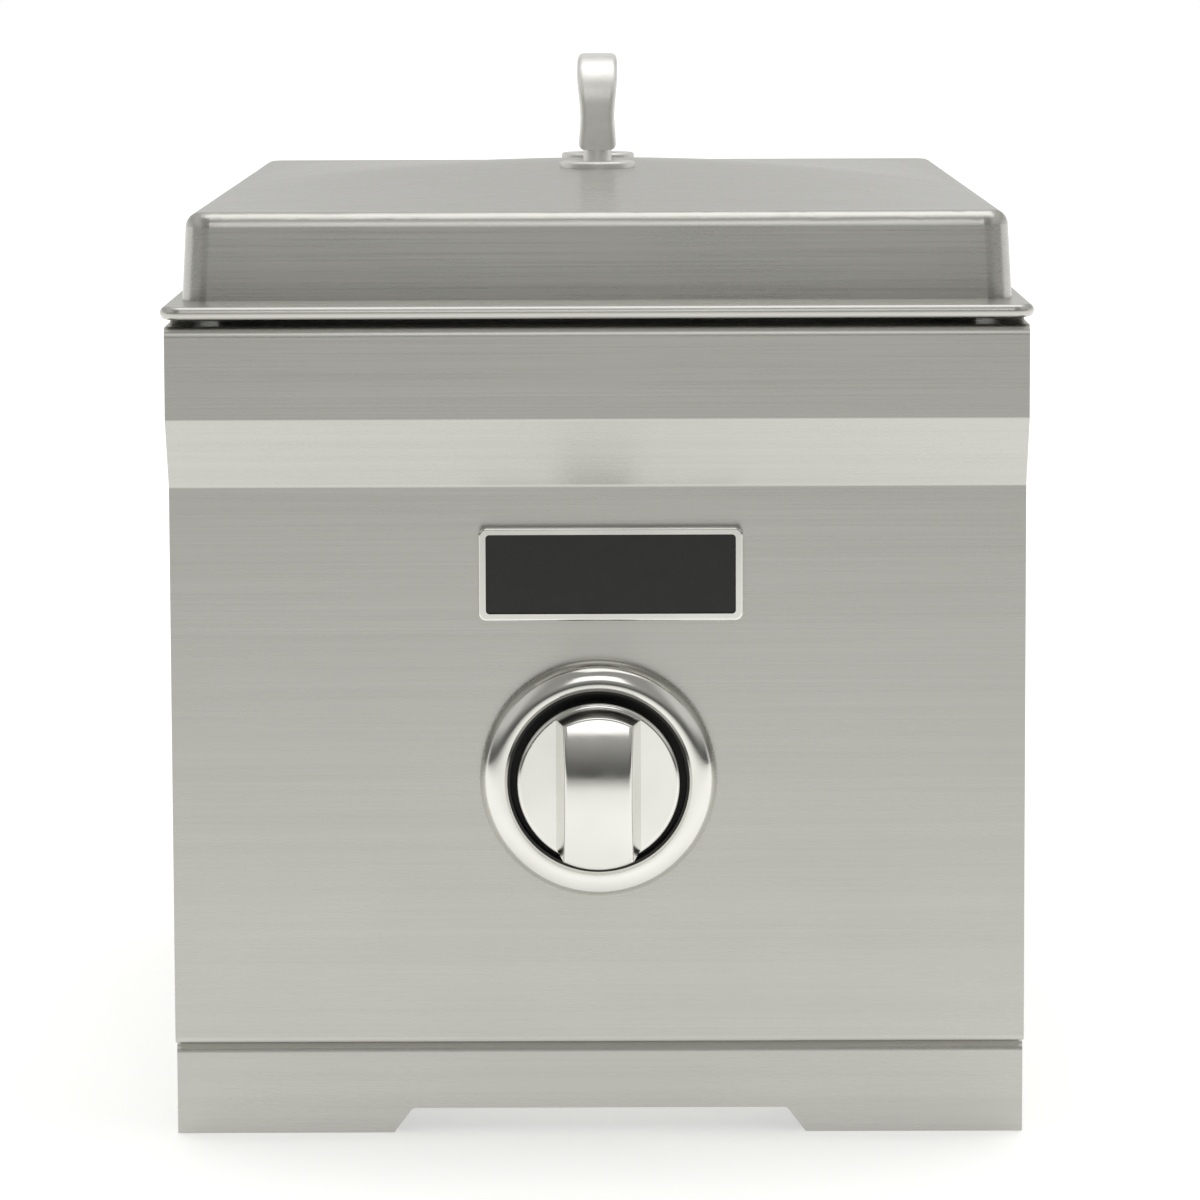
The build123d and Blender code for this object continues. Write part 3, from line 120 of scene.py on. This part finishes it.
# The casing's 2B mill finish is greyer and softer, with hardly any direction
millSheet = {
    "dark": "#b4b4b0", "light": "#c6c6c2", "roughness": (0.36, 0.48), "aniso": 0.2,
    "lineMm": (40, 1.6), "bandMm": (160, 14.0), "bump": 0.04, "bumpDepthMm": 0.02,
}
# Handling leaves soft clouds in the gloss of both, and broad bands tint the lines
sheetWear = {"smudgeMm": 60, "smudgeShare": 0.35, "bandShare": 0.4}
# Noise seldom leaves this span, so roughness and tone run from one end of it to the other
noiseLow, noiseHigh = 0.3, 0.7


def steelSheet(name, finish):
    material, tree, shader = startMaterial(name)
    coords, lines, tangent = grainVectors(tree, *finish["lineMm"])
    bands = grainVectors(tree, *finish["bandMm"])[1]
    fine = addNode(tree, "ShaderNodeTexNoise", inputs={"Vector": lines, "Scale": 1.0, "Detail": 3.0})
    broad = addNode(tree, "ShaderNodeTexNoise", inputs={"Vector": bands, "Scale": 1.0, "Detail": 2.0})
    tone = addNode(tree, "ShaderNodeMix", inputs={
        "Factor": sheetWear["bandShare"], "A": fine.outputs["Fac"], "B": broad.outputs["Fac"]})
    smudge = addNode(tree, "ShaderNodeTexNoise", inputs={
        "Vector": coords.outputs["Object"], "Scale": mmPerMetre / sheetWear["smudgeMm"], "Detail": 2.0})
    gloss = addNode(tree, "ShaderNodeMix", inputs={
        "Factor": sheetWear["smudgeShare"], "A": fine.outputs["Fac"], "B": smudge.outputs["Fac"]})
    low, high = finish["roughness"]
    rough = addNode(tree, "ShaderNodeMapRange", inputs={
        "Value": gloss.outputs[0], "From Min": noiseLow, "From Max": noiseHigh,
        "To Min": low, "To Max": high})
    bump = addNode(tree, "ShaderNodeBump", inputs={
        "Strength": finish["bump"], "Distance": finish["bumpDepthMm"] / mmPerMetre,
        "Height": fine.outputs["Fac"]})
    colour = addNode(tree, "ShaderNodeValToRGB", inputs={"Fac": tone.outputs[0]}, stops=[
        (noiseLow, finish["dark"]), (noiseHigh, finish["light"])])
    tree.links.new(colour.outputs["Color"], shader.inputs["Base Color"])
    tree.links.new(rough.outputs[0], shader.inputs["Roughness"])
    tree.links.new(bump.outputs[0], shader.inputs["Normal"])
    tree.links.new(tangent, shader.inputs["Tangent"])
    shader.inputs["Metallic"].default_value = 1.0
    # a quarter turn, because the highlight stretches across the grain
    shader.inputs["Anisotropic"].default_value = finish["aniso"]
    shader.inputs["Anisotropic Rotation"].default_value = 0.25
    return material


# Plain finishes: two near colours clouded together, a roughness range, and a bump at a grit size
plainFinishes = {
    "chromePlatedZinc": {  # bright nickel-chrome over a die casting, with faint wiping marks
        "colours": ("#d3d2cd", "#dddcd7"), "metal": 1.0,
        "roughness": (0.11, 0.15), "gritMm": 9, "bump": 0.0},
    "satinSteel": {  # bead-blasted and lightly buffed bar, so highlights spread wide
        "colours": ("#e6e5e1", "#efeeea"), "metal": 1.0,
        "roughness": (0.42, 0.50), "gritMm": 1.5, "bump": 0.02},
    "drawnStainlessRod": {  # drawn and polished, so a little duller than chrome
        "colours": ("#b9b8b3", "#cbcac5"), "metal": 1.0,
        "roughness": (0.22, 0.34), "gritMm": 4, "bump": 0.03},
    "aluminisedTube": {  # hot-dipped, a fine pale mottle
        "colours": ("#a9aaa8", "#bdbebc"), "metal": 1.0,
        "roughness": (0.38, 0.52), "gritMm": 3, "bump": 0.08},
    "castAluminium": {  # sand-cast skin, grey and grainy
        "colours": ("#9a9a97", "#b0b0ad"), "metal": 1.0,
        "roughness": (0.48, 0.64), "gritMm": 1.2, "bump": 0.35},
    "blackEnamel": {  # fired porcelain enamel: glassy, with a slight orange peel
        "colours": ("#151515", "#1c1c1b"), "metal": 0.0,
        "roughness": (0.16, 0.28), "gritMm": 2.2, "bump": 0.12},
    "turnedBrass": {  # free-cutting brass, lightly dulled
        "colours": ("#b08a4a", "#c49f5c"), "metal": 1.0,
        "roughness": (0.24, 0.36), "gritMm": 5, "bump": 0.03},
    "blackAcrylic": {  # smooth black plate with a satin face
        "colours": ("#0b0b0a", "#0f0f0e"), "metal": 0.0,
        "roughness": (0.24, 0.34), "gritMm": 6, "bump": 0.02},
    "blackNylon": {  # moulded, with a spark-eroded grain
        "colours": ("#191918", "#222221"), "metal": 0.0,
        "roughness": (0.50, 0.62), "gritMm": 0.7, "bump": 0.2},
    "siliconeLead": {  # silicone rubber sleeve, dull and soft
        "colours": ("#1d1b1a", "#272523"), "metal": 0.0,
        "roughness": (0.45, 0.58), "gritMm": 2, "bump": 0.05},
    "glazedAlumina": {  # white electrode ceramic with a thin gloss
        "colours": ("#e2dfd4", "#eeece3"), "metal": 0.0,
        "roughness": (0.18, 0.30), "gritMm": 3, "bump": 0.04},
    "zincPlatedSteel": {  # bright zinc with a cool cast
        "colours": ("#b7babd", "#c9cccf"), "metal": 1.0,
        "roughness": (0.26, 0.40), "gritMm": 1.5, "bump": 0.06},
}
# Clouds are some six grits wide, and a bump is an eighth of a grit deep
plainClouds = {"grits": 6, "low": 0.35, "high": 0.65, "bumpGrits": 1 / 8}


def plainMaterial(name, finish):
    material, tree, shader = startMaterial(name)
    gritMm = finish["gritMm"]
    coords = addNode(tree, "ShaderNodeTexCoord")
    cloud = addNode(tree, "ShaderNodeTexNoise", inputs={
        "Vector": coords.outputs["Object"], "Scale": mmPerMetre / (plainClouds["grits"] * gritMm),
        "Detail": 3.0})
    grit = addNode(tree, "ShaderNodeTexNoise", inputs={
        "Vector": coords.outputs["Object"], "Scale": mmPerMetre / gritMm, "Detail": 2.0})
    low, high = finish["roughness"]
    rough = addNode(tree, "ShaderNodeMapRange", inputs={
        "Value": grit.outputs["Fac"], "From Min": noiseLow, "From Max": noiseHigh,
        "To Min": low, "To Max": high})
    first, second = finish["colours"]
    colour = addNode(tree, "ShaderNodeValToRGB", inputs={"Fac": cloud.outputs["Fac"]}, stops=[
        (plainClouds["low"], first), (plainClouds["high"], second)])
    tree.links.new(colour.outputs["Color"], shader.inputs["Base Color"])
    tree.links.new(rough.outputs[0], shader.inputs["Roughness"])
    if finish["bump"]:
        bump = addNode(tree, "ShaderNodeBump", inputs={
            "Strength": finish["bump"], "Distance": plainClouds["bumpGrits"] * gritMm / mmPerMetre,
            "Height": grit.outputs["Fac"]})
        tree.links.new(bump.outputs[0], shader.inputs["Normal"])
    shader.inputs["Metallic"].default_value = finish["metal"]
    return material


materials = {name: plainMaterial(name, finish) for name, finish in plainFinishes.items()}
materials["brushedStainless"] = steelSheet("brushedStainless304", brushedSheet)
materials["millStainless"] = steelSheet("millFinishStainless", millSheet)

finishOf = {
    "brushedStainless": ["lid_shell", "top_frame", "control_panel", "front_wall", "burner_pan"],
    "millStainless": ["left_side_panel", "right_side_panel", "rear_panel", "bottom_tray", "heat_shield",
                      "burner_bracket", "electrode_bracket"],
    "chromePlatedZinc": ["control_knob", "knob_bezel", "badge_frame"],
    "satinSteel": ["lid_handle", "handle_collars"],
    "drawnStainlessRod": ["cooking_grate", "electrode", "valve_stem", "return_spring"],
    "aluminisedTube": ["mixing_tube", "air_shutter", "supply_pipe"],
    "castAluminium": ["burner_base", "burner_head"],
    "blackEnamel": ["burner_cap"],
    "turnedBrass": ["valve_bonnet", "valve_body", "stem_collar", "gas_orifice", "pipe_nut", "inlet_fitting",
                    "inlet_locknut"],
    "blackAcrylic": ["badge_plate"],
    "blackNylon": ["bezel_ring", "piezo_igniter"],
    "siliconeLead": ["ignition_lead"],
    "glazedAlumina": ["insulator"],
    "zincPlatedSteel": ["panel_screws", "rear_screws", "tray_screws", "shield_screws", "valve_screws",
                        "burner_screws", "handle_screws", "shutter_screw", "badge_push_nuts"],
}
for finishName, pieceNames in finishOf.items():
    for pieceName in pieceNames:
        piece = nodes[pieceName]
        piece.data.materials.clear()
        piece.data.materials.append(materials[finishName])
print("materials on", sum(len(names) for names in finishOf.values()), "nodes")

# Return spring: a copy with its own mesh stands in for the rigid one, on the chassis body
springPiece = {"node": "return_spring", "slot": "stainless_rod", "joint": "knob_push", "travel": 0.004}
spring = nodes[springPiece["node"]].copy()
spring.name = "shortening_spring"
spring.data = spring.data.copy()
bpy.context.scene.collection.objects.link(spring)
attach(spring, "chassis")
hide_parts(springPiece["node"])
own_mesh(spring)

# Floor: a plain pale sheet just under the part, near white to the eye, that still takes the shadow.
# To the eye its glow rises with distance, so that the shadow stays by the foot.
# In metal the glow falls off towards the front, from nearY to farY.
floorSheet = {
    "halfWidth": 30.0, "drop": 0.0005, "colour": "#f4f4f2", "roughness": 0.9,
    "eyeNear": 0.46, "eyeFar": 0.64, "eyeSpan": (0.7, 1.8),
    "metalGlow": 0.62, "farShare": 0.1, "nearY": -0.5, "farY": -3.0,
}


def makeFloor():
    half = floorSheet["halfWidth"]
    corners = [(-half, -half, 0), (half, -half, 0), (half, half, 0), (-half, half, 0)]
    mesh = bpy.data.meshes.new("floor")
    mesh.from_pydata(corners, [], [(0, 1, 2, 3)])
    floor = bpy.data.objects.new("floor", mesh)
    bpy.context.scene.collection.objects.link(floor)
    floor.location.z = -floorSheet["drop"]
    material, tree, shader = startMaterial("paperFloor")
    shader.inputs["Base Color"].default_value = linear(floorSheet["colour"])
    shader.inputs["Roughness"].default_value = floorSheet["roughness"]
    path = addNode(tree, "ShaderNodeLightPath")
    coords = addNode(tree, "ShaderNodeTexCoord")
    place = addNode(tree, "ShaderNodeSeparateXYZ", inputs={"Vector": coords.outputs["Object"]})
    fall = addNode(tree, "ShaderNodeMapRange", inputs={
        "Value": place.outputs["Y"], "From Min": floorSheet["farY"], "From Max": floorSheet["nearY"],
        "To Min": floorSheet["metalGlow"] * floorSheet["farShare"], "To Max": floorSheet["metalGlow"]})
    inMetal = addNode(tree, "ShaderNodeMath", {"operation": "MULTIPLY"}, {
        0: path.outputs["Is Glossy Ray"], 1: fall.outputs[0]})
    away = addNode(tree, "ShaderNodeVectorMath", {"operation": "LENGTH"}, {0: coords.outputs["Object"]})
    spanFrom, spanTo = floorSheet["eyeSpan"]
    rise = addNode(tree, "ShaderNodeMapRange", inputs={
        "Value": away.outputs["Value"], "From Min": spanFrom, "From Max": spanTo,
        "To Min": floorSheet["eyeNear"], "To Max": floorSheet["eyeFar"]})
    inEye = addNode(tree, "ShaderNodeMath", {"operation": "MULTIPLY"}, {
        0: path.outputs["Is Camera Ray"], 1: rise.outputs[0]})
    glow = addNode(tree, "ShaderNodeMath", {"operation": "MAXIMUM"}, {
        0: inEye.outputs[0], 1: inMetal.outputs[0]})
    shader.inputs["Emission Color"].default_value = white
    tree.links.new(glow.outputs[0], shader.inputs["Emission Strength"])
    mesh.materials.append(material)


makeFloor()
print("floor laid")

# Studio: a white backdrop behind, a dim room in front with pale sides, and two soft boxes.
# Each list runs from straight down (0) by way of the horizon (0.5) to straight up (1).
studio = {
    "front": [(0.0, "#ffffff"), (0.49, "#e0e0de"), (0.50, "#464644"), (0.56, "#70706e"), (0.66, "#a6a6a4"),
              (1.0, "#a2a2a0")],
    "back": [(0.0, "#ffffff"), (0.50, "#f4f4f2"), (0.62, "#d4d4d2"), (0.75, "#c8c8c6"), (1.0, "#f4f4f2")],
    "side": "#dededc", "sideFrom": 0.42, "sideFull": 0.72, "sideLow": 0.1, "sideHigh": 0.4,
    "turnOver": 0.25, "backdropTop": 0.2, "backdropFull": 0.05,
}


def makeStudio():
    world = bpy.data.worlds.new("studio")
    bpy.context.scene.world = world
    world.use_nodes = True
    sky = world.node_tree
    direction = addNode(sky, "ShaderNodeTexCoord")
    axes = addNode(sky, "ShaderNodeSeparateXYZ", inputs={"Vector": direction.outputs["Generated"]})
    height = addNode(sky, "ShaderNodeMapRange", inputs={
        "Value": axes.outputs["Z"], "From Min": -1.0, "From Max": 1.0, "To Min": 0.0, "To Max": 1.0})
    behind = addNode(sky, "ShaderNodeMapRange", {"interpolation_type": "SMOOTHSTEP"}, {
        "Value": axes.outputs["Y"], "From Min": -studio["turnOver"], "From Max": studio["turnOver"]})
    sideways = addNode(sky, "ShaderNodeMath", {"operation": "ABSOLUTE"}, {0: axes.outputs["X"]})
    beside = addNode(sky, "ShaderNodeMapRange", {"interpolation_type": "SMOOTHSTEP"}, {
        "Value": sideways.outputs[0], "From Min": studio["sideFrom"], "From Max": studio["sideFull"]})
    raised = addNode(sky, "ShaderNodeMapRange", {"interpolation_type": "SMOOTHSTEP"}, {
        "Value": axes.outputs["Z"], "From Min": studio["sideLow"], "From Max": studio["sideHigh"]})
    wall = addNode(sky, "ShaderNodeMath", {"operation": "MULTIPLY"}, {
        0: beside.outputs[0], 1: raised.outputs[0]})
    frontRamp = addNode(sky, "ShaderNodeValToRGB", inputs={"Fac": height.outputs[0]}, stops=studio["front"])
    backRamp = addNode(sky, "ShaderNodeValToRGB", inputs={"Fac": height.outputs[0]}, stops=studio["back"])
    frontShade = addNode(sky, "ShaderNodeMix", {"data_type": "RGBA"}, {
        "Factor": wall.outputs[0], colourFirst: frontRamp.outputs["Color"],
        colourSecond: linear(studio["side"])})
    shade = addNode(sky, "ShaderNodeMix", {"data_type": "RGBA"}, {
        "Factor": behind.outputs[0], colourFirst: frontShade.outputs[colourResult],
        colourSecond: backRamp.outputs["Color"]})
    # the eye sees plain white, and so does metal that faces the low backdrop
    path = addNode(sky, "ShaderNodeLightPath")
    lowDown = addNode(sky, "ShaderNodeMapRange", {"interpolation_type": "SMOOTHSTEP"}, {
        "Value": axes.outputs["Z"], "From Min": studio["backdropTop"], "From Max": studio["backdropFull"]})
    backdrop = addNode(sky, "ShaderNodeMath", {"operation": "MULTIPLY"}, {
        0: behind.outputs[0], 1: lowDown.outputs[0]})
    inMetal = addNode(sky, "ShaderNodeMath", {"operation": "MULTIPLY"}, {
        0: path.outputs["Is Glossy Ray"], 1: backdrop.outputs[0]})
    whitened = addNode(sky, "ShaderNodeMath", {"operation": "MAXIMUM"}, {
        0: path.outputs["Is Camera Ray"], 1: inMetal.outputs[0]})
    seen = addNode(sky, "ShaderNodeMix", {"data_type": "RGBA"}, {
        "Factor": whitened.outputs[0], colourFirst: shade.outputs[colourResult], colourSecond: white})
    background = sky.nodes["Background"]
    sky.links.new(seen.outputs[colourResult], background.inputs["Color"])
    background.inputs["Strength"].default_value = 1.0


makeStudio()

softBoxes = {
    "overheadBox": {"place": (0.2, 0.1, 2.4), "aim": (0, 0, 0.3), "size": (2.0, 2.0), "watts": 14},
    "frontBox": {"place": (0.0, -2.25, 1.5), "aim": (0, -0.26, 0.15), "size": (0.9, 0.9), "watts": 3.6},
}


def aimed(thing):
    # the turn that points a soft box or the camera from its place to its aim
    return (Vector(thing["aim"]) - Vector(thing["place"])).to_track_quat("-Z", "Y")


for boxName, softBox in softBoxes.items():
    lamp = bpy.data.lights.new(boxName, "AREA")
    lamp.shape = "RECTANGLE"
    lamp.size, lamp.size_y = softBox["size"]
    lamp.energy = softBox["watts"]
    lampObject = bpy.data.objects.new(boxName, lamp)
    bpy.context.scene.collection.objects.link(lampObject)
    lampObject.location = softBox["place"]
    lampObject.rotation_euler = aimed(softBox).to_euler()
print("studio lit")

# Camera: matched to the photograph's edges, 1200 x 1200
view = {
    "place": (0.0046, -2.2713, 0.4717), "aim": (0.0010, -0.2580, 0.2630), "rollDeg": -0.21,
    "lensMm": 158.1, "sensorMm": 36.0, "shiftUp": -0.1,
}
camera = bpy.data.cameras.new("camera")
camera.lens = view["lensMm"]
camera.sensor_width = view["sensorMm"]
camera.shift_y = view["shiftUp"]
cameraObject = bpy.data.objects.new("camera", camera)
bpy.context.scene.collection.objects.link(cameraObject)
roll = Matrix.Rotation(math.radians(view["rollDeg"]), 4, "Z")
cameraObject.matrix_world = Matrix.Translation(view["place"]) @ aimed(view).to_matrix().to_4x4() @ roll
bpy.context.scene.camera = cameraObject
bpy.context.scene.view_settings.view_transform = "Standard"
print("camera set")
